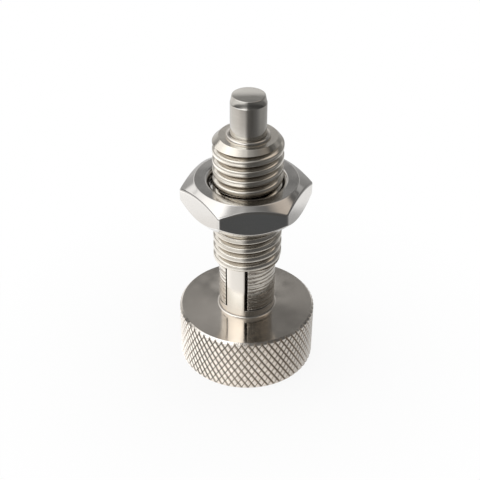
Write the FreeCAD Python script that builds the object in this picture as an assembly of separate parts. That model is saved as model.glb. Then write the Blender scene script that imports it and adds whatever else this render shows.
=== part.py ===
import FreeCAD, Part
import math
import os

# Indexing plunger with lock-out, all sizes in millimetres.
# It stands on its knob with the pin up. The origin is the centre of the knob's underside,
# and +Z runs along the pin towards its tip. The cross slot in the sleeve runs along Y.

# Knob
knob_dia = 16.2
knob_height = 7.0
knob_bevel = 0.3
knurl_teeth = 64
knurl_depth = 0.3
knurl_angle = 30.0
collar_height = 1.0
collar_fillet = 0.25
rod_seat_depth = 4.5

# Threaded sleeve
thread_dia = 8.0
thread_pitch = 1.25
thread_length = 15.9
thread_allowance = 0.05
thread_crest_land = 0.3
thread_start_turn = -80.0
nose_bevel = 0.7
barrel_end_bevel = 0.2
neck_dia = 6.6
neck_length = 6.9
slot_width = 2.8
bore_dia = 5.0
floor_thickness = 2.0

# Guide bush in the nose
bush_length = 3.0
bush_lip_height = 0.3
bush_lip_width = 0.2

# Pin
pin_dia = 4.0
pin_reach = 4.8
pin_taper_height = 0.8
pin_taper_inset = 0.17
pin_tip_bevel = 0.08
shoulder_length = 1.3
rod_dia = 2.5

# Spring
wire_dia = 0.4
wire_sides = 6
spring_dia = 4.2
spring_coils = 6

# Lock nut
nut_across_flats = 13.0
nut_thickness = 4.0
nut_flat_dia = 11.7
nut_bevel_angle = 30.0
nut_mouth_dia = 8.8
nut_from_nose = 5.4

# Clearances
end_gap = 0.1
pin_clearance = 0.02
shoulder_clearance = 0.1
rod_clearance = 0.05
nut_clearance = 0.1
tongue_play = 0.25
tongue_rest_turn = -1.25

# Levels along the axis
collar_top = knob_height + collar_height
sleeve_end = collar_top + end_gap
thread_start = knob_height + neck_length
floor_top = thread_start + floor_thickness
nose_face = thread_start + thread_length
bush_end = nose_face - bush_length
shoulder_end = bush_end - shoulder_length
pin_tip = nose_face + pin_reach
nut_top = nose_face - nut_from_nose
nut_bottom = nut_top - nut_thickness

# Radii and widths that follow from the sizes above
crest_radius = thread_dia / 2 - thread_allowance
flank_slope = math.tan(math.radians(30))
root_radius = crest_radius - (thread_pitch - thread_crest_land) / 2 / flank_slope
neck_radius = neck_dia / 2
tongue_width = slot_width - 2 * tongue_play
rod_radius = rod_dia / 2
pin_radius = pin_dia / 2


def at(x, y, z):
    return FreeCAD.Vector(x, y, z)


def turned(outline):
    """A solid of revolution from its half section, given as (radius, height) corners."""
    corners = [at(r, 0, z) for r, z in outline]
    section = Part.Face(Part.makePolygon(corners + corners[:1]))
    return section.revolve(at(0, 0, 0), at(0, 0, 1), 360)


def rod(radius, low, high):
    return Part.makeCylinder(radius, high - low, at(0, 0, low))


def cross_bar(width, length, low, high):
    """A bar across the axis along Y, as wide as the slot or the blade that it makes."""
    return Part.makeBox(width, length, high - low, at(-width / 2, -length / 2, low))


def wound(section, pitch, radius, low, high):
    """A section swept along a right-hand helix from one level to another."""
    cylindrical = 0
    helix = Part.makeLongHelix(pitch, high - low, radius, cylindrical)
    coil = Part.Wire(helix.Edges).makePipeShell([section], True, True)
    coil.translate(at(0, 0, low))
    return coil


def thread_groove():
    """The 60 degree groove of the right-hand thread, as a tool that runs out past both ends of the barrel."""
    outer_radius = crest_radius + thread_allowance
    half_mouth = (outer_radius - root_radius) * flank_slope
    corners = [
        at(root_radius, 0, 0),
        at(outer_radius, 0, -half_mouth),
        at(outer_radius, 0, half_mouth),
    ]
    section = Part.makePolygon(corners + corners[:1])
    groove = wound(section, thread_pitch, root_radius, thread_start - thread_pitch, nose_face + thread_pitch)
    groove.rotate(at(0, 0, 0), at(0, 0, 1), thread_start_turn)
    return groove


def threaded_sleeve():
    bore_radius = bore_dia / 2
    hole_radius = rod_radius + rod_clearance
    barrel = turned([
        (hole_radius, thread_start),
        (crest_radius - barrel_end_bevel, thread_start),
        (crest_radius, thread_start + barrel_end_bevel),
        (crest_radius, nose_face - nose_bevel),
        (crest_radius - nose_bevel, nose_face),
        (bore_radius, nose_face),
        (bore_radius, floor_top),
        (hole_radius, floor_top),
    ])
    neck = rod(neck_radius, sleeve_end, thread_start)
    slot = cross_bar(slot_width, thread_dia, sleeve_end - end_gap, thread_start)
    return barrel.cut(thread_groove()).fuse(neck.cut(slot))


def nose_bush():
    hole_radius = pin_radius + pin_clearance
    bush_radius = bore_dia / 2
    return turned([
        (hole_radius, bush_end),
        (bush_radius, bush_end),
        (bush_radius, nose_face),
        (hole_radius + bush_lip_width, nose_face + bush_lip_height),
        (hole_radius, nose_face + bush_lip_height),
    ])


def plunger_pin():
    taper_radius = pin_radius - pin_taper_inset
    shoulder_radius = bore_dia / 2 - shoulder_clearance
    return turned([
        (0, knob_height - rod_seat_depth),
        (rod_radius, knob_height - rod_seat_depth),
        (rod_radius, shoulder_end),
        (shoulder_radius, shoulder_end),
        (shoulder_radius, bush_end),
        (pin_radius, bush_end),
        (pin_radius, pin_tip - pin_taper_height),
        (taper_radius, pin_tip - pin_tip_bevel),
        (taper_radius - pin_tip_bevel, pin_tip),
        (0, pin_tip),
    ])


def compression_spring():
    """Round wire drawn with flat sides, ground flat where it bears on the floor and the shoulder."""
    coil_radius = (spring_dia - wire_dia) / 2
    wire_radius = wire_dia / 2
    corners = []
    for side in range(wire_sides):
        turn = 2 * math.pi * side / wire_sides
        corners.append(at(coil_radius + wire_radius * math.cos(turn), 0, wire_radius * math.sin(turn)))
    section = Part.makePolygon(corners + corners[:1])
    pitch = (shoulder_end - floor_top) / spring_coils
    coil = wound(section, pitch, coil_radius, floor_top, shoulder_end)
    return coil.common(rod(spring_dia, floor_top, shoulder_end))


def facet(*corners):
    return Part.Face(Part.makePolygon(corners + corners[:1]))


def knurled_disc():
    """A disc whose rim is ring upon ring of four-sided points, as a pair of crossed rollers presses them."""
    tip_radius = knob_dia / 2
    groove_radius = tip_radius - knurl_depth
    face_radius = tip_radius - knob_bevel
    band_height = knob_height - 2 * knob_bevel
    point_height = math.pi * knob_dia / knurl_teeth / math.tan(math.radians(knurl_angle))
    half_rows = 2 * round(band_height / point_height)
    columns = range(0, 2 * knurl_teeth, 2)

    def spot(column, radius, height):
        turn = math.pi * column / knurl_teeth
        return at(radius * math.cos(turn), radius * math.sin(turn), height)

    def groove(column, row):
        return spot(column, groove_radius, knob_bevel + band_height * row / half_rows)

    facets = []
    for row in range(half_rows + 1):
        for even_column in columns:
            column = even_column + row % 2
            tip = spot(column, tip_radius, knob_bevel + band_height * row / half_rows)
            left, right = groove(column - 1, row), groove(column + 1, row)
            if row > 0:
                below = groove(column, row - 1)
                facets += [facet(tip, left, below), facet(tip, below, right)]
            if row < half_rows:
                above = groove(column, row + 1)
                facets += [facet(tip, right, above), facet(tip, above, left)]
    for row, height in ((0, 0), (half_rows, knob_height)):
        for column in columns:
            tip = spot(column, tip_radius, knob_bevel + band_height * row / half_rows)
            left, right = spot(column - 1, face_radius, height), spot(column + 1, face_radius, height)
            facets.append(facet(tip, left, right))
            facets.append(facet(tip, groove(column - 1, row), left))
            facets.append(facet(tip, right, groove(column + 1, row)))
        facets.append(facet(*[spot(column + 1, face_radius, height) for column in columns]))
    return Part.makeSolid(Part.makeShell(facets))


def knurled_knob():
    collar = turned([
        (0, knob_height - rod_seat_depth),
        (neck_radius + collar_fillet, knob_height - rod_seat_depth),
        (neck_radius + collar_fillet, knob_height),
        (neck_radius, knob_height + collar_fillet),
        (neck_radius, collar_top),
        (0, collar_top),
    ])
    blade = cross_bar(tongue_width, neck_dia, collar_top, thread_start - end_gap)
    blade = blade.common(rod(neck_radius, collar_top, thread_start))
    blade.rotate(at(0, 0, 0), at(0, 0, 1), tongue_rest_turn)
    seat = rod(rod_radius, knob_height - rod_seat_depth, thread_start)
    return knurled_disc().fuse(collar.fuse(blade)).cut(seat)


def lock_nut():
    corner_radius = nut_across_flats / 2 / math.cos(math.radians(30))
    corners = []
    for corner in range(6):
        turn = math.radians(60 * corner + 30)
        corners.append(at(corner_radius * math.cos(turn), corner_radius * math.sin(turn), nut_bottom))
    hexagon = Part.Face(Part.makePolygon(corners + corners[:1])).extrude(at(0, 0, nut_thickness))
    bevel_drop = (corner_radius - nut_flat_dia / 2) * math.tan(math.radians(nut_bevel_angle))
    dome = turned([
        (0, nut_bottom),
        (nut_flat_dia / 2, nut_bottom),
        (corner_radius, nut_bottom + bevel_drop),
        (corner_radius, nut_top - bevel_drop),
        (nut_flat_dia / 2, nut_top),
        (0, nut_top),
    ])
    hole_radius = crest_radius + nut_clearance
    mouth_radius = nut_mouth_dia / 2
    mouth_depth = mouth_radius - hole_radius
    hole = turned([
        (0, nut_bottom),
        (mouth_radius, nut_bottom),
        (hole_radius, nut_bottom + mouth_depth),
        (hole_radius, nut_top - mouth_depth),
        (mouth_radius, nut_top),
        (0, nut_top),
    ])
    return hexagon.common(dome).cut(hole)


pieces = {
    "threaded_sleeve": threaded_sleeve(),
    "nose_bush": nose_bush(),
    "plunger_pin": plunger_pin(),
    "compression_spring": compression_spring(),
    "knurled_knob": knurled_knob(),
    "lock_nut": lock_nut(),
}

os.makedirs("parts", exist_ok=True)
for name, shape in pieces.items():
    solid = shape.Solids[0]
    solid.exportStep("parts/" + name + ".step")
    print(name, "solids", len(shape.Solids), "valid", solid.isValid(), "volume", round(solid.Volume, 2))
print("overall length", pin_tip)
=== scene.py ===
import math

import bmesh
import bpy
from mathutils import Matrix, Vector


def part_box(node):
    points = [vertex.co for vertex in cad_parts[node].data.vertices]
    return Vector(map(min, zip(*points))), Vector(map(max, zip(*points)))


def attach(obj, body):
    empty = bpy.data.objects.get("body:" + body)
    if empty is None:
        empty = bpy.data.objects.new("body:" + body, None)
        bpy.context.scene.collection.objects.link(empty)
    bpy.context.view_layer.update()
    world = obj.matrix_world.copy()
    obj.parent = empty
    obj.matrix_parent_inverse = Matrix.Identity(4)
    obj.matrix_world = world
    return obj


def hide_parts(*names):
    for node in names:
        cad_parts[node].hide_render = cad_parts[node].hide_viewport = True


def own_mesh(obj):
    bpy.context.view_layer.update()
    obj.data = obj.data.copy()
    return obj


# Indexing plunger on its knurled knob. Lengths are in millimetres until a mesh is written.
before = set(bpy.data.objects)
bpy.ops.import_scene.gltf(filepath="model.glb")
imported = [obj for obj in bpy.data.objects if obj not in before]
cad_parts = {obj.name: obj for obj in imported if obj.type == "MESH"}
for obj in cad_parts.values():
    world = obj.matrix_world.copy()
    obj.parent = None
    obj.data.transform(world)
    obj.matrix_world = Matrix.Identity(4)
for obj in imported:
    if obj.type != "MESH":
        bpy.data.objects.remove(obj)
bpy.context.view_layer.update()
mm = 0.001
fullTurn = 2 * math.pi

sleeveLow, sleeveHigh = (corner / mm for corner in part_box("threaded_sleeve"))
bushLow, bushHigh = (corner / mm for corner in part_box("nose_bush"))
pinLow, pinHigh = (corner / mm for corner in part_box("plunger_pin"))
knobLow, knobHigh = (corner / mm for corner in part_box("knurled_knob"))
nutLow, nutHigh = (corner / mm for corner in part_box("lock_nut"))
springLow, springHigh = (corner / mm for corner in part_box("compression_spring"))


# shapes

onAxis = {"cent": (0, 0, 0), "axis": (0, 0, 1)}
turnedMerge = 1e-5       # corners of a turned shell that are closer than this are one
cutMerge = 1e-4          # the same on a shell that was cut or wound
touch = 1e-3             # a corner this near to a plane lies on it
skin = 0.02              # a blank stands this far past the pattern that is cut in it
cutter = {"length": 10, "overrun": 1}     # bar that cuts a slot or a blade across the axis


def arc(centreRadius, centreHeight, radius, startDegrees, endDegrees, steps):
    points = []
    for step in range(steps + 1):
        turn = math.radians(startDegrees + (endDegrees - startDegrees) * step / steps)
        points.append((centreRadius + radius * math.cos(turn), centreHeight + radius * math.sin(turn)))
    return points


def drawLine(bm, points, closed):
    verts = [bm.verts.new((radius, 0, height)) for radius, height in points]
    pairs = list(zip(verts, verts[1:] + verts[:1] if closed else verts[1:]))
    return verts + [bm.edges.new(pair) for pair in pairs]


def turnOnLathe(outline, steps=144):
    bm = bmesh.new()
    geometry = drawLine(bm, outline, True)
    bmesh.ops.spin(bm, geom=geometry, **onAxis, angle=fullTurn, steps=steps, use_merge=True)
    tidyShell(bm)
    return bm


def tidyShell(bm):
    bmesh.ops.remove_doubles(bm, verts=bm.verts, dist=turnedMerge)
    bmesh.ops.dissolve_degenerate(bm, edges=bm.edges, dist=turnedMerge)
    bmesh.ops.recalc_face_normals(bm, faces=bm.faces)


def closeHoles(bm, edges):
    bmesh.ops.holes_fill(bm, edges=[edge for edge in edges if edge.is_boundary], sides=0)


def cutFlat(bm, height, side):
    geometry = bm.verts[:] + bm.edges[:] + bm.faces[:]
    bmesh.ops.bisect_plane(bm, geom=geometry, dist=1e-6, plane_co=(0, 0, height), plane_no=(0, 0, side),
                           clear_outer=True)
    closeHoles(bm, [edge for edge in bm.edges if all(abs(v.co.z - height) < cutMerge for v in edge.verts)])


def block(width, length, low, high, turn=0):
    bm = bmesh.new()
    bmesh.ops.create_cube(bm, size=1)
    bmesh.ops.scale(bm, vec=(width, length, high - low), verts=bm.verts)
    bmesh.ops.translate(bm, vec=(0, 0, (low + high) / 2), verts=bm.verts)
    bmesh.ops.rotate(bm, cent=(0, 0, 0), matrix=Matrix.Rotation(turn, 3, "Z"), verts=bm.verts)
    return bm


def machine(work, tool, operation):
    # one solid cut by, kept inside or joined to another
    objects = []
    for bm in (work, tool):
        mesh = bpy.data.meshes.new("blank")
        bm.to_mesh(mesh)
        bm.free()
        objects.append(bpy.data.objects.new("blank", mesh))
        bpy.context.scene.collection.objects.link(objects[-1])
    cut = objects[0].modifiers.new("cut", "BOOLEAN")
    cut.operation = operation
    cut.solver = "EXACT"
    cut.object = objects[1]
    evaluated = objects[0].evaluated_get(bpy.context.evaluated_depsgraph_get())
    mesh = bpy.data.meshes.new_from_object(evaluated)
    result = bmesh.new()
    result.from_mesh(mesh)
    bpy.data.meshes.remove(mesh)
    for blank in objects:
        bpy.data.meshes.remove(blank.data)
    bmesh.ops.remove_doubles(result, verts=result.verts, dist=cutMerge)
    bmesh.ops.dissolve_degenerate(result, edges=result.edges, dist=cutMerge)
    return result


def breakEdges(bm, edges, width):
    bmesh.ops.bevel(bm, geom=edges, offset=width, offset_type="OFFSET", affect="EDGES",
                    segments=2, profile=0.5, material=-1, clamp_overlap=True)


def addObject(name, bm, material):
    bmesh.ops.scale(bm, vec=(mm, mm, mm), verts=bm.verts)
    mesh = bpy.data.meshes.new(name)
    bm.to_mesh(mesh)
    bm.free()
    mesh.materials.append(material)
    piece = bpy.data.objects.new(name, mesh)
    bpy.context.scene.collection.objects.link(piece)
    return piece


def finishPiece(bm, name, body, replaced, material, sharpDegrees=32):
    piece = addObject(name, bm, material)
    piece.data.polygons.foreach_set("use_smooth", [True] * len(piece.data.polygons))
    piece.data.set_sharp_from_angle(angle=math.radians(sharpDegrees))
    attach(piece, body)
    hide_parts(replaced)
    print(name, "faces", len(piece.data.polygons))
    return piece


# materials

noiseLow, noiseHigh = 0.3, 0.7     # most of a noise pattern lies between these
oneWave = math.pi / 10             # scale at which a wave texture repeats once a unit


def linearColour(hexText):
    # sRGB to linear
    channels = [int(hexText[place:place + 2], 16) / 255 for place in (1, 3, 5)]
    return [c / 12.92 if c <= 0.04045 else ((c + 0.055) / 1.055) ** 2.4 for c in channels] + [1.0]


def startMaterial(name):
    material = bpy.data.materials.new(name)
    material.use_nodes = True
    material.node_tree.nodes.clear()
    return material, material.node_tree


def addNode(tree, kind, settings=None, links=None):
    # in a Mix node for colours, 0 is the share, 6 and 7 are the colours, and output 2 is the result
    node = tree.nodes.new(kind)
    for name, value in (settings or {}).items():
        if isinstance(name, int) or (not hasattr(node, name) and name in node.inputs):
            node.inputs[name].default_value = value
        else:
            setattr(node, name, value)
    for name, source in (links or {}).items():
        tree.links.new(source, node.inputs[name])
    return node


def fillRamp(ramp, stops):
    elements = ramp.color_ramp.elements
    for place, colour in stops[2:]:
        elements.new(place)
    for element, (place, colour) in zip(elements, sorted(stops)):
        element.position = place
        element.color = colour


def addScratches(tree, at, spec, colour, relief):
    # coarse marks round the axis, below a height
    stretched = addNode(tree, "ShaderNodeVectorMath", {"operation": "MULTIPLY", 1: spec["stretch"]},
                        {0: at["place"]})
    marks = addNode(tree, "ShaderNodeTexWave", {
        "wave_type": "BANDS", "bands_direction": "Z", "Scale": oneWave / (spec["spacing"] * mm),
        "Distortion": 8.0, "Detail": 5.0, "Detail Scale": 2.2, "Detail Roughness": 0.75,
    }, {"Vector": stretched.outputs[0]})
    edges = addNode(tree, "ShaderNodeMapRange", {"From Min": 0.5, "From Max": 0.08},
                    {"Value": marks.outputs["Fac"]})
    where = addNode(tree, "ShaderNodeMapRange", {
        "From Min": spec["top"] * mm, "From Max": (spec["top"] - spec["fade"]) * mm,
    }, {"Value": at["height"]})
    share = addNode(tree, "ShaderNodeMath", {"operation": "MULTIPLY"},
                    {0: edges.outputs[0], 1: where.outputs[0]})
    marked = addNode(tree, "ShaderNodeBump", {
        "Strength": 1.0, "Distance": spec["depth"] * mm, "invert": True,
    }, {"Height": share.outputs[0], "Normal": relief})
    shaded = addNode(tree, "ShaderNodeMix", {"data_type": "RGBA", 7: linearColour(spec["colour"])},
                     {0: share.outputs[0], 6: colour})
    return shaded.outputs[2], marked.outputs[0]


def addMottle(tree, at, spec, onRim, relief):
    # a pressed knurl is a little rough and uneven on its points too
    uneven = addNode(tree, "ShaderNodeTexNoise", {
        "Scale": 1 / (spec["grain"] * mm), "Detail": 3.0, "Roughness": 0.7,
    }, {"Vector": at["place"]})
    worn = addNode(tree, "ShaderNodeMapRange", {"From Min": 0.42, "From Max": 0.72, "To Max": spec["shade"]},
                   {"Value": uneven.outputs["Fac"]})
    worn = addNode(tree, "ShaderNodeMath", {"operation": "MULTIPLY"},
                   {0: worn.outputs[0], 1: onRim.outputs[0]})
    rough = addNode(tree, "ShaderNodeBump", {
        "Strength": 1.0, "Distance": spec["depth"] * mm, "invert": True,
    }, {"Height": worn.outputs[0], "Normal": relief})
    return worn, rough.outputs[0]


def paintGrooveShade(tree, at, spec, colour, relief):
    # painted shade: grooves between two radii and two heights are darkened towards the inner radius
    deep = addNode(tree, "ShaderNodeMapRange", {
        "From Min": spec["outer"] * mm, "From Max": spec["inner"] * mm,
    }, {"Value": at["reach"]})
    onRim = addNode(tree, "ShaderNodeMath", {
        "operation": "GREATER_THAN", 1: (spec["inner"] - spec["margin"]) * mm,
    }, {0: at["reach"]})
    above = addNode(tree, "ShaderNodeMath", {"operation": "GREATER_THAN", 1: spec["bottom"] * mm},
                    {0: at["height"]})
    below = addNode(tree, "ShaderNodeMapRange", {
        "From Min": spec["top"] * mm, "From Max": (spec["top"] - spec["fade"]) * mm,
    }, {"Value": at["height"]})
    if "mottle" in spec:
        worn, relief = addMottle(tree, at, spec["mottle"], onRim, relief)
        deep = addNode(tree, "ShaderNodeMath", {"operation": "MAXIMUM"},
                       {0: deep.outputs[0], 1: worn.outputs[0]})
    share = deep
    for factor in (onRim, below, above):
        share = addNode(tree, "ShaderNodeMath", {"operation": "MULTIPLY"},
                        {0: share.outputs[0], 1: factor.outputs[0]})
    paintedShadeAndMottle = addNode(tree, "ShaderNodeMix", {"data_type": "RGBA", 7: linearColour(spec["colour"])},
                    {0: share.outputs[0], 6: colour})
    return paintedShadeAndMottle.outputs[2], relief


def turnedSteel(name, look):
    # Austenitic stainless turned from bar: fine feed lines run round the axis on walls and as rings on faces,
    # so a highlight spreads across them, and the bare metal is a little warm.
    material, tree = startMaterial(name)
    place = addNode(tree, "ShaderNodeTexCoord")
    split = addNode(tree, "ShaderNodeSeparateXYZ", links={0: place.outputs["Object"]})
    flat = addNode(tree, "ShaderNodeCombineXYZ", links={"X": split.outputs["X"], "Y": split.outputs["Y"]})
    reach = addNode(tree, "ShaderNodeVectorMath", {"operation": "LENGTH"}, {0: flat.outputs[0]})
    # where a point lies: its place, its height and its distance from the axis
    at = {"place": place.outputs["Object"], "height": split.outputs["Z"], "reach": reach.outputs["Value"]}
    alongOutline = addNode(tree, "ShaderNodeCombineXYZ", links={"X": at["reach"], "Y": at["height"]})
    feedLines = addNode(tree, "ShaderNodeTexNoise", {
        "noise_dimensions": "2D", "Scale": 1 / (look["feed"] * mm), "Detail": 2.0, "Roughness": 0.6,
    }, {"Vector": alongOutline.outputs[0]})
    handling = addNode(tree, "ShaderNodeTexNoise", {"Scale": 1 / (look["patch"] * mm), "Detail": 3.0},
                       {"Vector": at["place"]})
    gloss = addNode(tree, "ShaderNodeMapRange", {
        "From Min": noiseLow, "From Max": noiseHigh, "To Min": look["smooth"], "To Max": look["rough"],
    }, {"Value": handling.outputs["Fac"]})
    tone = addNode(tree, "ShaderNodeMix", {
        "data_type": "RGBA", 6: linearColour(look["colour"]), 7: linearColour(look["shade"]),
    }, {0: feedLines.outputs["Fac"]})
    lines = addNode(tree, "ShaderNodeBump", {"Strength": look["relief"], "Distance": look["depth"] * mm},
                    {"Height": feedLines.outputs["Fac"]})
    colour, relief = tone.outputs[2], lines.outputs[0]
    if "scratches" in look:
        colour, relief = addScratches(tree, at, look["scratches"], colour, relief)
    # painted shade in grooves, darker towards their roots
    if "paintedGrooveShade" in look:
        colour, relief = paintGrooveShade(tree, at, look["paintedGrooveShade"], colour, relief)
    metal = addNode(tree, "ShaderNodeBsdfPrincipled", {"Metallic": 1.0},
                    {"Base Color": colour, "Roughness": gloss.outputs[0], "Normal": relief})
    addNode(tree, "ShaderNodeOutputMaterial", links={"Surface": metal.outputs[0]})
    return material


# Feed is the spacing of the turning lines. The real 0.03 mm is too fine to show at this size, so it is drawn
# coarser. Patch is the size of the smoother and rougher areas that handling leaves.
sleeveSteel = turnedSteel("thread-cut stainless steel", {
    "colour": "#ddd8ce", "shade": "#d0c9bf", "feed": 0.09, "depth": 0.004, "relief": 0.5,
    "patch": 1.4, "smooth": 0.11, "rough": 0.19,
    # painted shade in the thread's grooves, darker towards the root, from the barrel's end up to the nose
    "paintedGrooveShade": {"inner": 3.3, "outer": 3.66, "margin": 0.06, "bottom": 13.9, "top": 29.1, "fade": 0.15,
                "colour": "#a59c92"},
    "scratches": {"spacing": 0.56, "stretch": (0.14, 0.14, 1), "depth": 0.03, "top": 13.9, "fade": 0.2,
                  "colour": "#b3aaa0"},
})
bushSteel = turnedSteel("turned stainless bush steel", {
    "colour": "#d4cec6", "shade": "#cbc5bc", "feed": 0.08, "depth": 0.002, "relief": 0.4,
    "patch": 1.4, "smooth": 0.1, "rough": 0.16,
})
pinSteel = turnedSteel("ground stainless pin steel", {
    "colour": "#d3cfc8", "shade": "#c8c4bd", "feed": 0.07, "depth": 0.002, "relief": 0.5,
    "patch": 1.5, "smooth": 0.12, "rough": 0.18,
})
knobSteel = turnedSteel("turned and knurled stainless steel", {
    "colour": "#dbd4cb", "shade": "#d1cac1", "feed": 0.1, "depth": 0.003, "relief": 0.5,
    "patch": 1.6, "smooth": 0.09, "rough": 0.16,
    # painted shade in the knurl's grooves below the face; the darker patches on the points are uneven mottle
    "paintedGrooveShade": {"inner": 7.85, "outer": 7.99, "margin": 0.06, "bottom": 0.1, "top": 6.75, "fade": 0.15,
                "colour": "#9c9288", "mottle": {"grain": 0.3, "shade": 0.45, "depth": 0.02}},
})
nutSteel = turnedSteel("bright stainless nut steel", {
    "colour": "#d2cfcb", "shade": "#cbc8c4", "feed": 0.4, "depth": 0.003, "relief": 0.3,
    "patch": 2.5, "smooth": 0.09, "rough": 0.16,
    # painted shade on the hole's wall and the inner edge of its mouth, where the hole's shadow falls
    "paintedGrooveShade": {"inner": 4.08, "outer": 4.3, "margin": 0.06, "bottom": 0.1, "top": 24.35, "fade": 0.15,
                "colour": "#3d3833"},
})
springSteel = turnedSteel("drawn stainless spring wire", {
    "colour": "#c2c0bb", "shade": "#b0aea9", "feed": 0.1, "depth": 0.002, "relief": 0.4,
    "patch": 1.0, "smooth": 0.25, "rough": 0.35,
})
print("materials ready")


# threaded sleeve: lathe blank, right-hand thread, cross slot

sleeve = {
    "pitch": 1.25,
    "crestHeight": 13.553,     # height of one crest where the thread crosses +X
    "rootRadius": 3.27,        # a shade under the neck, so the die leaves its trace there
    "halfTooth": [             # radius and height from the middle of a crest down its rounded flank
        (3.95, 0.0), (3.95, 0.18), (3.94, 0.24), (3.91, 0.293), (3.86, 0.333),
        (3.42, 0.562), (3.34, 0.585), (3.28, 0.603),
    ],
    "turnSteps": 120,
    "overrun": 0.5,            # the thread is made this much longer at both ends, and the blank trims it
    "neckRadius": 3.3,
    "neckEndBreak": 0.04,
    "barrelEnd": 13.9,
    "barrelBevel": 0.2,
    "noseBevel": 0.7,
    "boreRadius": 2.5,
    "boreFloor": 15.9,
    "rodHoleRadius": 1.3,
    "slotWidth": 2.8,
    "outsideFrom": 3.1,        # a corner of the slot past this radius is on the outside
    "edgeBreak": 0.09,
}


def threadForm(spec, low, high):
    # one long tooth outline, wound by one pitch, closes on itself into the whole thread
    half, pitch, crest = spec["halfTooth"], spec["pitch"], spec["crestHeight"]
    tooth = [(radius, -height) for radius, height in reversed(half[1:])] + half
    tooth.append((spec["rootRadius"], pitch / 2))
    spare = 1
    first = math.floor((low - crest) / pitch) - spare - 1     # one more, because the winding rises by a pitch
    last = math.ceil((high - crest) / pitch) + spare
    outline = []
    for turn in range(first, last + 1):
        outline += [(radius, crest + turn * pitch + height) for radius, height in tooth]
    bm = bmesh.new()
    geometry = drawLine(bm, outline, False)
    rise = pitch / spec["turnSteps"]
    bmesh.ops.spin(bm, geom=geometry, **onAxis, dvec=(0, 0, rise), angle=fullTurn, steps=spec["turnSteps"],
                   use_merge=False)
    bmesh.ops.remove_doubles(bm, verts=bm.verts, dist=cutMerge)
    cutFlat(bm, low, -1)
    cutFlat(bm, high, 1)
    bmesh.ops.recalc_face_normals(bm, faces=bm.faces)
    return bm


def makeSleeve(spec):
    crest, end, nose = sleeveHigh.x, sleeveLow.z, sleeveHigh.z
    neck, neckBreak, barrelEnd = spec["neckRadius"], spec["neckEndBreak"], spec["barrelEnd"]
    blank = turnOnLathe([
        (spec["rodHoleRadius"], end),
        (neck - neckBreak, end),
        (neck, end + neckBreak),
        (neck, barrelEnd),
        (crest - spec["barrelBevel"], barrelEnd),
        (crest + skin, barrelEnd + spec["barrelBevel"] + skin),
        (crest + skin, nose - spec["noseBevel"] - skin),
        (crest - spec["noseBevel"], nose),
        (spec["boreRadius"], nose),
        (spec["boreRadius"], spec["boreFloor"]),
        (spec["rodHoleRadius"], spec["boreFloor"]),
    ])
    bm = machine(threadForm(spec, end - spec["overrun"], nose + spec["overrun"]), blank, "INTERSECT")
    slot = block(spec["slotWidth"], cutter["length"], end - cutter["overrun"], barrelEnd)
    bm = machine(bm, slot, "DIFFERENCE")
    half = spec["slotWidth"] / 2

    def onOutsideOfSlot(corner):
        inSlotWall = abs(abs(corner.x) - half) < touch and corner.z < barrelEnd + touch
        return inSlotWall and corner.xy.length > spec["outsideFrom"]

    slotEdges = [edge for edge in bm.edges if all(onOutsideOfSlot(v.co) for v in edge.verts)]
    breakEdges(bm, slotEdges, spec["edgeBreak"])
    return finishPiece(bm, "threadedSleeve", "sleeve", "threaded_sleeve", sleeveSteel)


makeSleeve(sleeve)


# guide bush pressed into the nose, only its rounded lip shows

bush = {"holeRadius": 2.02, "lipHeight": 0.3, "lipRound": 0.26, "holeBreak": 0.05}


def makeBush(spec):
    hole, outer, rounding = spec["holeRadius"], bushHigh.x, spec["lipRound"]
    nose, top = bushHigh.z - spec["lipHeight"], bushHigh.z
    outline = [(hole, bushLow.z), (outer, bushLow.z), (outer, nose)]
    outline += arc(outer - rounding, top - rounding, rounding, startDegrees=4, endDegrees=82, steps=6)
    outline += [(hole + spec["holeBreak"], top), (hole, top - spec["holeBreak"])]
    return finishPiece(turnOnLathe(outline), "noseBush", "sleeve", "nose_bush", bushSteel)


makeBush(bush)


# plunger pin: ground nose with its lead taper, shoulder and tail rod

pin = {
    "radius": 2.0, "taperHeight": 0.8, "taperInset": 0.17, "taperLip": 0.03, "taperStep": 0.04,
    "tipRound": 0.1, "shoulderRadius": 2.4, "shoulderLow": 25.5, "shoulderHigh": 26.8,
    "rodRadius": 1.25, "rodBevel": 0.2,
}


def makePin(spec):
    tip, tail = pinHigh.z, pinLow.z
    radius, taper = spec["radius"], spec["radius"] - spec["taperInset"]
    taperLow, rounding = tip - spec["taperHeight"], spec["tipRound"]
    outline = [
        (0, tail),
        (spec["rodRadius"] - spec["rodBevel"], tail),
        (spec["rodRadius"], tail + spec["rodBevel"]),
        (spec["rodRadius"], spec["shoulderLow"]),
        (spec["shoulderRadius"], spec["shoulderLow"]),
        (spec["shoulderRadius"], spec["shoulderHigh"]),
        (radius, spec["shoulderHigh"]),
        (radius, taperLow - spec["taperStep"]),
        (radius - spec["taperLip"], taperLow),
    ]
    outline += arc(taper - rounding, tip - rounding, rounding, startDegrees=8, endDegrees=90, steps=5)
    outline += [(0, tip)]
    return finishPiece(turnOnLathe(outline), "plungerPin", "plunger", "plunger_pin", pinSteel)


makePin(pin)


# knurled knob: knurled disc, collar with its fillet, and the two tongues that stand in the slot

knob = {
    "teeth": 64,
    "rowHeight": 0.64,       # half a diamond
    "firstRow": 0.3,
    "spareRows": 2,          # above and below the disc, which trims them
    "grooveDepth": 0.26,
    "sideInset": 0.065, "sideRise": 0.19,
    "topInset": 0.05, "topRise": 0.045,
    "bias": 0.08,            # one roller presses harder: its grooves are this much wider, the others narrower
    "rimBevel": 0.3,
    "faceHeight": 7.0,
    "discSteps": 192,
    "collarRadius": 3.3,
    "collarTop": 8.0,
    "collarBreak": 0.03,
    "collarFillet": 0.25,
    "sunk": 2,               # the collar starts this far inside the disc
    "tongueWidth": 2.3,
    "tongueTurn": -1.25,
    "tongueRoot": 7.5,       # inside the collar
    "tongueTop": 13.8,
    "edgeBreak": 0.05,
}


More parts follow.
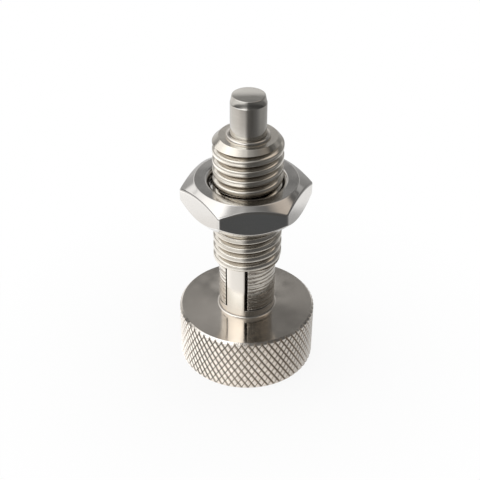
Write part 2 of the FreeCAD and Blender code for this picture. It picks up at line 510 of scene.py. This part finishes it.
def knurlForm(spec):
    # one flat-topped diamond, copied round the rim and then row by row
    root = knobHigh.x - spec["grooveDepth"]
    rowHeight, firstRow, bias = spec["rowHeight"], spec["firstRow"], spec["bias"]
    halfTooth = math.pi / spec["teeth"]
    bm = bmesh.new()
    corners = []
    for turn, height in ((-halfTooth, 0), (0, -rowHeight), (halfTooth, 0), (0, rowHeight)):
        corners.append(bm.verts.new((root * math.cos(turn), root * math.sin(turn), firstRow + height)))
    diamond = bm.faces.new(corners)
    bm.normal_update()
    for inset, rise in ((spec["sideInset"], spec["sideRise"]), (spec["topInset"], spec["topRise"])):
        bmesh.ops.inset_individual(bm, faces=[diamond], thickness=inset, depth=rise, use_even_offset=True)
    slant = rowHeight / (root * math.sin(halfTooth))
    lean = Matrix(((1, 0, 0), (0, 1, -bias / slant), (0, -bias * slant, 1))).to_4x4()
    raised = [vert for vert in bm.verts if vert not in corners]
    bmesh.ops.transform(bm, matrix=lean, space=Matrix.Translation((0, 0, -firstRow)), verts=raised)
    copies = spec["teeth"] - 1
    bmesh.ops.spin(bm, geom=bm.verts[:] + bm.edges[:] + bm.faces[:], **onAxis,
                   angle=fullTurn * copies / spec["teeth"], steps=copies, use_duplicate=True)
    ring = bm.verts[:] + bm.edges[:] + bm.faces[:]
    rowsAbove = math.ceil((spec["faceHeight"] - firstRow) / rowHeight) + spec["spareRows"]
    for row in range(-spec["spareRows"], rowsAbove + 1):
        if row == 0:
            continue
        copied = bmesh.ops.duplicate(bm, geom=ring)["geom"]
        verts = [item for item in copied if isinstance(item, bmesh.types.BMVert)]
        bmesh.ops.translate(bm, vec=(0, 0, row * rowHeight), verts=verts)
        halfStep = Matrix.Rotation(halfTooth * (row % 2), 3, "Z")
        bmesh.ops.rotate(bm, cent=(0, 0, 0), matrix=halfStep, verts=verts)
    bmesh.ops.remove_doubles(bm, verts=bm.verts, dist=touch)
    closeHoles(bm, bm.edges)
    bmesh.ops.recalc_face_normals(bm, faces=bm.faces)
    return bm


def makeTongues(spec):
    collar, top = spec["collarRadius"], spec["tongueTop"]
    drum = turnOnLathe([(0, spec["faceHeight"]), (collar, spec["faceHeight"]), (collar, top), (0, top)])
    blade = block(spec["tongueWidth"], cutter["length"], spec["tongueRoot"], top + cutter["overrun"],
                  math.radians(spec["tongueTurn"]))
    tongues = machine(drum, blade, "INTERSECT")

    leastTurn, leastLength = math.radians(30), 1

    def outerCorner(edge):
        # where a flat side meets the round outside, and neither a step of the outside nor an end
        outside = all(abs(v.co.xy.length - collar) < skin for v in edge.verts)
        sharp = len(edge.link_faces) == 2 and edge.calc_face_angle(0) > leastTurn
        return outside and sharp and edge.calc_length() > leastLength

    breakEdges(tongues, [edge for edge in tongues.edges if outerCorner(edge)], spec["edgeBreak"])
    return tongues


def makeKnob(spec):
    rim, under, face, bevel = knobHigh.x, knobLow.z, spec["faceHeight"], spec["rimBevel"]
    collar, fillet = spec["collarRadius"], spec["collarFillet"]
    top, edge = spec["collarTop"], spec["collarBreak"]
    disc = turnOnLathe([
        (0, under), (rim - bevel, under), (rim + skin, under + bevel + skin),
        (rim + skin, face - bevel - skin), (rim - bevel, face), (0, face),
    ], spec["discSteps"])
    bm = machine(knurlForm(spec), disc, "INTERSECT")
    outline = [(0, face - spec["sunk"]), (collar + fillet, face - spec["sunk"])]
    outline += arc(collar + fillet, face + fillet, fillet, startDegrees=270, endDegrees=180, steps=6)
    outline += [(collar, top - edge), (collar - edge, top), (0, top)]
    bm = machine(bm, turnOnLathe(outline), "UNION")
    bm = machine(bm, makeTongues(spec), "UNION")
    return finishPiece(bm, "knurledKnob", "plunger", "knurled_knob", knobSteel)


makeKnob(knob)


# lock nut: turned all round, then its six flats are milled

nut = {
    "flatRadius": 5.85, "bevelDegrees": 33, "bevelDegreesBelow": 45, "holeRadius": 4.2, "mouthRadius": 4.58,
    "cornerRound": 0.3, "edgeRound": 0.32, "roundSteps": 5, "turnSteps": 360, "sharpDegrees": 60,
    "mouthBreak": (0.03, 0.04),      # how far the mouth's edge is broken inside and outside
    "faceBreak": 0.008,              # how deep the face's edge is broken
    # extra corners this near to an edge keep its shading narrow
    "nearFace": (0.05, 0.11), "nearMouth": 0.1, "nearRim": 0.06,
    "milledFrom": 0.4,               # only corners this near to the rim move when the flats are milled
    "aside": (-0.14, -0.06),         # it is loose on the thread and hangs to one side
}


def tangent(degrees):
    return math.tan(math.radians(degrees))


def hexagonReach(turn, flat, rounding):
    # from the axis to the side of a hexagon with rounded corners, 60 degrees a side
    away = abs((math.degrees(turn) + 30) % 60 - 30)
    if flat * tangent(away) <= (flat - rounding) * tangent(30):
        return flat / math.cos(math.radians(away))
    middle = (flat - rounding) / math.cos(math.radians(30))
    aside = middle * math.sin(math.radians(30 - away))
    return middle * math.cos(math.radians(30 - away)) + math.sqrt(rounding ** 2 - aside ** 2)


def nutEnd(spec, corner, bevel, height, up):
    # half section of one end from the hole to the middle of the flats
    flat, hole, mouth = spec["flatRadius"], spec["holeRadius"], spec["mouthRadius"]
    rounding = spec["edgeRound"]
    inside, outside = spec["mouthBreak"]
    near, far = spec["nearFace"]
    slope = tangent(bevel)
    rim = height - up * (corner - flat) * slope
    start = rounding * tangent(45 - bevel / 2)
    back = start + spec["nearRim"]
    points = [
        (hole, height - up * (mouth - hole)),
        (mouth - inside, height - up * inside),
        (mouth + outside, height),
        (mouth + spec["nearMouth"], height),
        (flat - far, height),
        (flat - near, height),
        (flat, height - up * spec["faceBreak"]),
        (flat + near, height - up * near * slope),
        (flat + far, height - up * far * slope),
        (corner - back * math.cos(math.radians(bevel)), rim + up * back * math.sin(math.radians(bevel))),
    ]
    for radius, rise in arc(corner - rounding, 0, rounding, 90 - bevel, 0, spec["roundSteps"]):
        points.append((radius, rim + up * (rise - start)))
    return points + [(corner, rim - up * back)]


def makeNut(spec):
    low, high = nutLow.z, nutHigh.z
    corner = hexagonReach(math.radians(30), nutHigh.x, spec["cornerRound"])
    top = nutEnd(spec, corner, spec["bevelDegrees"], high, 1)
    bottom = nutEnd(spec, corner, spec["bevelDegreesBelow"], low, -1)
    bm = turnOnLathe(bottom + top[::-1], spec["turnSteps"])
    for vert in bm.verts:
        reach = vert.co.xy.length
        if reach > corner - spec["milledFrom"]:
            milled = corner - hexagonReach(math.atan2(vert.co.y, vert.co.x), nutHigh.x, spec["cornerRound"])
            vert.co.xy *= (reach - milled) / reach
            upper = vert.co.z > (low + high) / 2
            vert.co.z += milled * tangent(spec["bevelDegrees"] if upper else -spec["bevelDegreesBelow"])
    bmesh.ops.translate(bm, vec=(*spec["aside"], 0), verts=bm.verts)
    bmesh.ops.recalc_face_normals(bm, faces=bm.faces)
    return finishPiece(bm, "lockNut", "nut", "lock_nut", nutSteel, spec["sharpDegrees"])


makeNut(nut)


# compression spring inside the sleeve, ground flat at both ends

spring = {"wire": 0.4, "outside": 4.2, "coils": 6, "sides": 10, "stepsPerCoil": 40, "travel": 6.0}


def makeSpring(spec):
    low, high = springLow.z, springHigh.z
    middle = (spec["outside"] - spec["wire"]) / 2
    bm = bmesh.new()
    wire = arc(middle, low, spec["wire"] / 2, 0, 360 - 360 / spec["sides"], spec["sides"] - 1)
    steps = spec["coils"] * spec["stepsPerCoil"]
    bmesh.ops.spin(bm, geom=drawLine(bm, wire, True), **onAxis, dvec=(0, 0, (high - low) / steps),
                   angle=spec["coils"] * fullTurn, steps=steps, use_merge=False)
    closeHoles(bm, bm.edges)
    cutFlat(bm, low, -1)
    cutFlat(bm, high, 1)
    tidyShell(bm)
    piece = finishPiece(bm, "compressionSpring", "spring", "compression_spring", springSteel)
    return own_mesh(piece)


makeSpring(spring)


# stage: white floor, light tent seen only by the metal, soft lamps, camera
# Floor and tent ride with the knob, so that it still stands on the floor when it is pulled.

camera = {
    "distance": 114, "elevation": 35.0, "azimuth": 24, "lens": 73.8,
    "aimRight": -0.85, "aimHeight": 15.95, "roll": 0.24, "nearest": 5,
}
floor = {"colour": "#f7f7f7", "size": 3000, "shadowReach": 12, "whiteReach": 36, "shadowShare": 0.87}
tent = {"radius": 250, "tableHeight": 0.02, "steps": 64}
world = {"light": 0.85, "background": 1.0}     # on the object, and as the camera and the metal see it
softbox = {"size": 240, "distance": 400, "aimHeight": 15}
lamps = {
    "softboxLeft": {"side": -95, "elevation": 50, "power": 0.1},
    "fillRight": {"side": 130, "elevation": 40, "power": 0.03},
}


def stageObject(name, bm, material):
    piece = addObject(name, bm, material)
    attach(piece, "plunger")
    return piece


def backgroundRays(tree):
    path = addNode(tree, "ShaderNodeLightPath")
    seen = addNode(tree, "ShaderNodeMath", {"operation": "MAXIMUM"},
                   {0: path.outputs["Is Camera Ray"], 1: path.outputs["Is Glossy Ray"]})
    return addNode(tree, "ShaderNodeMath", {"operation": "MAXIMUM"},
                   {0: seen.outputs[0], 1: path.outputs["Is Transmission Ray"]})


def makeFloor(spec):
    # matt white paper, on which the eye sees only a soft shadow under the knob
    material, tree = startMaterial("white paper floor")
    lit = addNode(tree, "ShaderNodeBsdfDiffuse", {"Color": linearColour(spec["colour"])})
    white = addNode(tree, "ShaderNodeEmission", {"Color": (1, 1, 1, 1), "Strength": 1.0})
    # pure white away from the object, where no shadow has to show, so that the horizon can't be seen
    place = addNode(tree, "ShaderNodeTexCoord")
    reach = addNode(tree, "ShaderNodeVectorMath", {"operation": "LENGTH"}, {0: place.outputs["Object"]})
    whiter = addNode(tree, "ShaderNodeMapRange", {
        "From Min": spec["shadowReach"] * mm, "From Max": spec["whiteReach"] * mm,
        "To Min": spec["shadowShare"], "To Max": 1.0,
    }, {"Value": reach.outputs["Value"]})
    shareOfWhite = addNode(tree, "ShaderNodeMath", {"operation": "MULTIPLY"},
                           {0: backgroundRays(tree).outputs[0], 1: whiter.outputs[0]})
    paper = addNode(tree, "ShaderNodeMixShader", links={
        0: shareOfWhite.outputs[0], 1: lit.outputs[0], 2: white.outputs[0]})
    addNode(tree, "ShaderNodeOutputMaterial", links={"Surface": paper.outputs[0]})
    bm = bmesh.new()
    bmesh.ops.create_grid(bm, x_segments=1, y_segments=1, size=spec["size"])
    return stageObject("floor", bm, material)


def grey(value, warmth=0.0):
    return (value * (1 + warmth), value, value * (1 - warmth), 1)


# Brightness round the tent by bearing from the camera: 0 towards it, 90 right, 180 behind the object, -90 and
# 270 left. A third number warms it. Each band is a stretch in millimetres, along the table from the object or
# up the wall. The object stands between white paper on its left and a dark flag on its right front.
tableBands = [
    (0, 15, [
        (-90, 1.75), (-20, 1.5), (0, 1.17), (40, 0.84), (70, 0.67), (110, 0.75), (180, 0.85), (270, 1.6),
    ]),
    (17, 22, [
        (-90, 1.6, -0.02), (-60, 1.25, -0.02), (-16, 1.15, -0.02), (-8, 0.6), (10, 0.52), (40, 0.7),
        (70, 0.72), (90, 0.58), (120, 0.58), (150, 0.6), (180, 0.6), (215, 1.1), (270, 1.6, -0.02),
    ]),
    (24, 35, [
        (-90, 1.0, 0.02), (-60, 0.8, 0.02), (-20, 0.8), (-9, 0.33), (-1, 0.1), (40, 0.1), (64, 0.1),
        (94, 0.13), (150, 0.8), (180, 0.7), (215, 1.1), (270, 1.15, 0.02),
    ]),
    (38, 43, [
        (-90, 1.2, 0.02), (-60, 1.15), (-20, 1.25), (-9, 0.42), (-1, 0.1), (10, 0.11, -0.05),
        (40, 0.12, -0.03), (94, 0.26), (108, 0.7), (124, 1.1), (150, 1.1), (180, 0.7), (215, 1.2), (240, 1.3),
    ]),
    (46, 53, [
        (-120, 1.9), (-75, 1.7), (-50, 1.5), (-22, 1.6), (-9, 0.55), (-1, 0.12), (10, 0.1), (40, 0.12),
        (64, 0.12), (100, 0.14), (150, 0.9), (180, 0.7), (215, 1.2), (240, 1.9),
    ]),
    (58, 250, [
        (-90, 0.8, 0.02), (-60, 0.7, 0.03), (-45, 0.56, 0.03), (-24, 0.46, 0.03), (-6, 0.14, 0.03),
        (20, 0.09, 0.03), (50, 0.16), (77, 0.33), (112, 0.36), (139, 0.44), (180, 0.5), (218, 0.9),
        (270, 0.8, 0.02),
    ]),
]
wallBands = [
    (0, 42, [
        (-90, 1.0), (-60, 1.1), (-44, 1.3), (-25, 1.1), (-12, 0.5), (-4, 0.18), (10, 0.14), (60, 0.16),
        (110, 0.15), (150, 0.4), (180, 0.5), (240, 0.8), (270, 1.0),
    ]),
    (50, 98, [
        (-90, 0.06), (-60, 0.12), (-30, 0.25), (-12, 0.2), (-4, 0.08), (10, 0.06), (60, 0.06), (100, 0.06),
        (125, 0.2), (172, 0.5), (186, 0.6), (218, 0.5), (238, 0.15), (254, 0.06),
    ]),
    (106, 136, [
        (-90, 1.6), (-25, 1.8), (-12, 1.0), (-4, 0.2), (10, 0.12), (60, 0.2), (110, 0.3), (150, 0.6),
        (165, 0.78), (177, 0.82), (183, 0.95), (240, 1.4), (270, 1.6),
    ]),
    (143, 148, [
        (-90, 1.7, -0.08), (-50, 1.9, -0.08), (-20, 1.9, -0.08), (-8, 0.5), (0, 0.14), (30, 0.12), (90, 0.12),
        (140, 0.15), (176, 0.18), (186, 0.18), (205, 0.34), (225, 0.8), (270, 1.5),
    ]),
    (153, 158, [
        (-90, 1.8, -0.1), (-50, 2.9, -0.1), (-20, 2.9, -0.1), (-8, 0.5), (0, 0.14), (30, 0.12), (90, 0.14),
        (140, 0.35, 0.02), (162, 0.37), (176, 0.37), (186, 0.28), (205, 0.7), (225, 1.3), (270, 1.6),
    ]),
    (164, 176, [
        (-90, 1.8), (-50, 2.5), (-20, 2.5), (-8, 0.55), (0, 0.1), (30, 0.07), (90, 0.08), (140, 0.18),
        (177, 0.18), (184, 0.32), (205, 0.7), (225, 1.3), (270, 1.6),
    ]),
    (195, 212, [
        (-90, 1.7), (-35, 1.5), (-10, 0.65), (0, 0.3), (30, 0.2), (84, 0.3, 0.1), (100, 0.65, 0.12),
        (116, 0.75, 0.1), (140, 0.25), (170, 0.4), (200, 1.3), (270, 1.7),
    ]),
    (222, 243, [
        (-87, 1.9), (-78, 1.75), (-69, 0.65), (-48, 0.55), (-33, 0.75), (-10, 0.85), (0, 0.45), (30, 0.33),
        (55, 0.24), (76, 0.2), (88, 0.42, 0.1), (98, 0.72, 0.12), (114, 0.78, 0.1), (140, 0.25), (170, 0.4),
        (200, 1.3), (256, 1.7),
    ]),
    (248, 250, [
        (-90, 0.6), (-15, 0.42), (0, 0.4), (40, 0.34), (60, 0.28), (180, 0.35), (270, 0.6),
    ]),
]


def tentMaterial(name, bands, measure):
    # card lit as a light tent is, which gives the metal its bright and dark bands
    material, tree = startMaterial(name)
    place = addNode(tree, "ShaderNodeTexCoord")
    turn = addNode(tree, "ShaderNodeTexGradient", {"gradient_type": "RADIAL"}, {0: place.outputs["Object"]})
    if measure == "reach":
        length = addNode(tree, "ShaderNodeVectorMath", {"operation": "LENGTH"}, {0: place.outputs["Object"]})
        amount = length.outputs["Value"]
    else:
        amount = addNode(tree, "ShaderNodeSeparateXYZ", links={0: place.outputs["Object"]}).outputs["Z"]
    colour, bandEnd = None, 0
    for low, high, bearings in bands:
        ramp = addNode(tree, "ShaderNodeValToRGB", links={0: turn.outputs["Fac"]})
        fillRamp(ramp, [((bearing + 90) / 360, grey(*tone)) for bearing, *tone in bearings])
        if colour is None:
            colour = ramp.outputs[0]
        else:
            share = addNode(tree, "ShaderNodeMapRange", {
                "interpolation_type": "SMOOTHSTEP", "From Min": bandEnd * mm, "From Max": low * mm,
            }, {"Value": amount})
            blend = addNode(tree, "ShaderNodeMix", {"data_type": "RGBA"},
                            {0: share.outputs[0], 6: colour, 7: ramp.outputs[0]})
            colour = blend.outputs[2]
        bandEnd = high
    glow = addNode(tree, "ShaderNodeEmission", {"Strength": 1.0}, {"Color": colour})
    addNode(tree, "ShaderNodeOutputMaterial", links={"Surface": glow.outputs[0]})
    return material


def makeTent(spec):
    radius, steps = spec["radius"], spec["steps"]
    table = bmesh.new()
    bmesh.ops.create_circle(table, cap_ends=True, segments=steps, radius=radius)
    dome = bmesh.new()
    bmesh.ops.create_uvsphere(dome, u_segments=steps, v_segments=steps // 2, radius=radius)
    geometry = dome.verts[:] + dome.edges[:] + dome.faces[:]
    bmesh.ops.bisect_plane(dome, geom=geometry, plane_co=(0, 0, 0), plane_no=(0, 0, -1), clear_outer=True)
    cards = [
        stageObject("tentTable", table, tentMaterial("tent table card", tableBands, "reach")),
        stageObject("tentWall", dome, tentMaterial("tent wall card", wallBands, "height")),
    ]
    cards[0].location.z = spec["tableHeight"] * mm
    for card in cards:
        card.rotation_euler.z = math.radians(camera["azimuth"])
        card.visible_camera = False
        card.visible_diffuse = False
        card.visible_shadow = False
        card.visible_transmission = False
    return cards


def makeWorld(spec):
    studio = bpy.data.worlds.new("studio")
    bpy.context.scene.world = studio
    studio.use_nodes = True
    tree = studio.node_tree
    tree.nodes.clear()
    strength = addNode(tree, "ShaderNodeMapRange", {"To Min": spec["light"], "To Max": spec["background"]},
                       {"Value": backgroundRays(tree).outputs[0]})
    sky = addNode(tree, "ShaderNodeBackground", {"Color": (1, 1, 1, 1)}, {"Strength": strength.outputs[0]})
    addNode(tree, "ShaderNodeOutputWorld", links={"Surface": sky.outputs[0]})


def aimed(position, target, roll=0.0):
    back = (position - target).normalized()
    right = Vector((0, 0, 1)).cross(back).normalized()
    up = back.cross(right)
    rolledRight = right * math.cos(roll) + up * math.sin(roll)
    rolledUp = up * math.cos(roll) - right * math.sin(roll)
    place = Matrix((rolledRight, rolledUp, back)).transposed().to_4x4()
    place.translation = position
    return place


def roundObject(azimuthDegrees, elevationDegrees, distance):
    # offset from the object, azimuth from -Y towards +X
    azimuth, elevation = math.radians(azimuthDegrees), math.radians(elevationDegrees)
    flat = distance * math.cos(elevation)
    return Vector((flat * math.sin(azimuth), -flat * math.cos(azimuth), distance * math.sin(elevation)))


def makeLamps(box, places):
    middle = Vector((0, 0, box["aimHeight"]))
    for name, spec in places.items():
        light = bpy.data.lights.new(name, "AREA")
        light.shape = "SQUARE"
        light.size = box["size"] * mm
        light.energy = spec["power"]
        lamp = bpy.data.objects.new(name, light)
        bpy.context.scene.collection.objects.link(lamp)
        offset = roundObject(camera["azimuth"] + spec["side"], spec["elevation"], box["distance"])
        lamp.matrix_world = aimed((middle + offset) * mm, middle * mm)
        lamp.visible_glossy = False


def makeCamera(spec):
    data = bpy.data.cameras.new("camera")
    data.lens = spec["lens"]
    data.clip_start = spec["nearest"] * mm
    eye = bpy.data.objects.new("camera", data)
    bpy.context.scene.collection.objects.link(eye)
    azimuth = math.radians(spec["azimuth"])
    right = Vector((math.cos(azimuth), math.sin(azimuth), 0))
    target = right * spec["aimRight"] + Vector((0, 0, spec["aimHeight"]))
    position = target + roundObject(spec["azimuth"], spec["elevation"], spec["distance"])
    eye.matrix_world = aimed(position * mm, target * mm, math.radians(spec["roll"]))
    bpy.context.scene.camera = eye


makeFloor(floor)
makeTent(tent)
makeWorld(world)
makeLamps(softbox, lamps)
makeCamera(camera)
bpy.context.scene.view_settings.view_transform = "Standard"
print("stage ready")
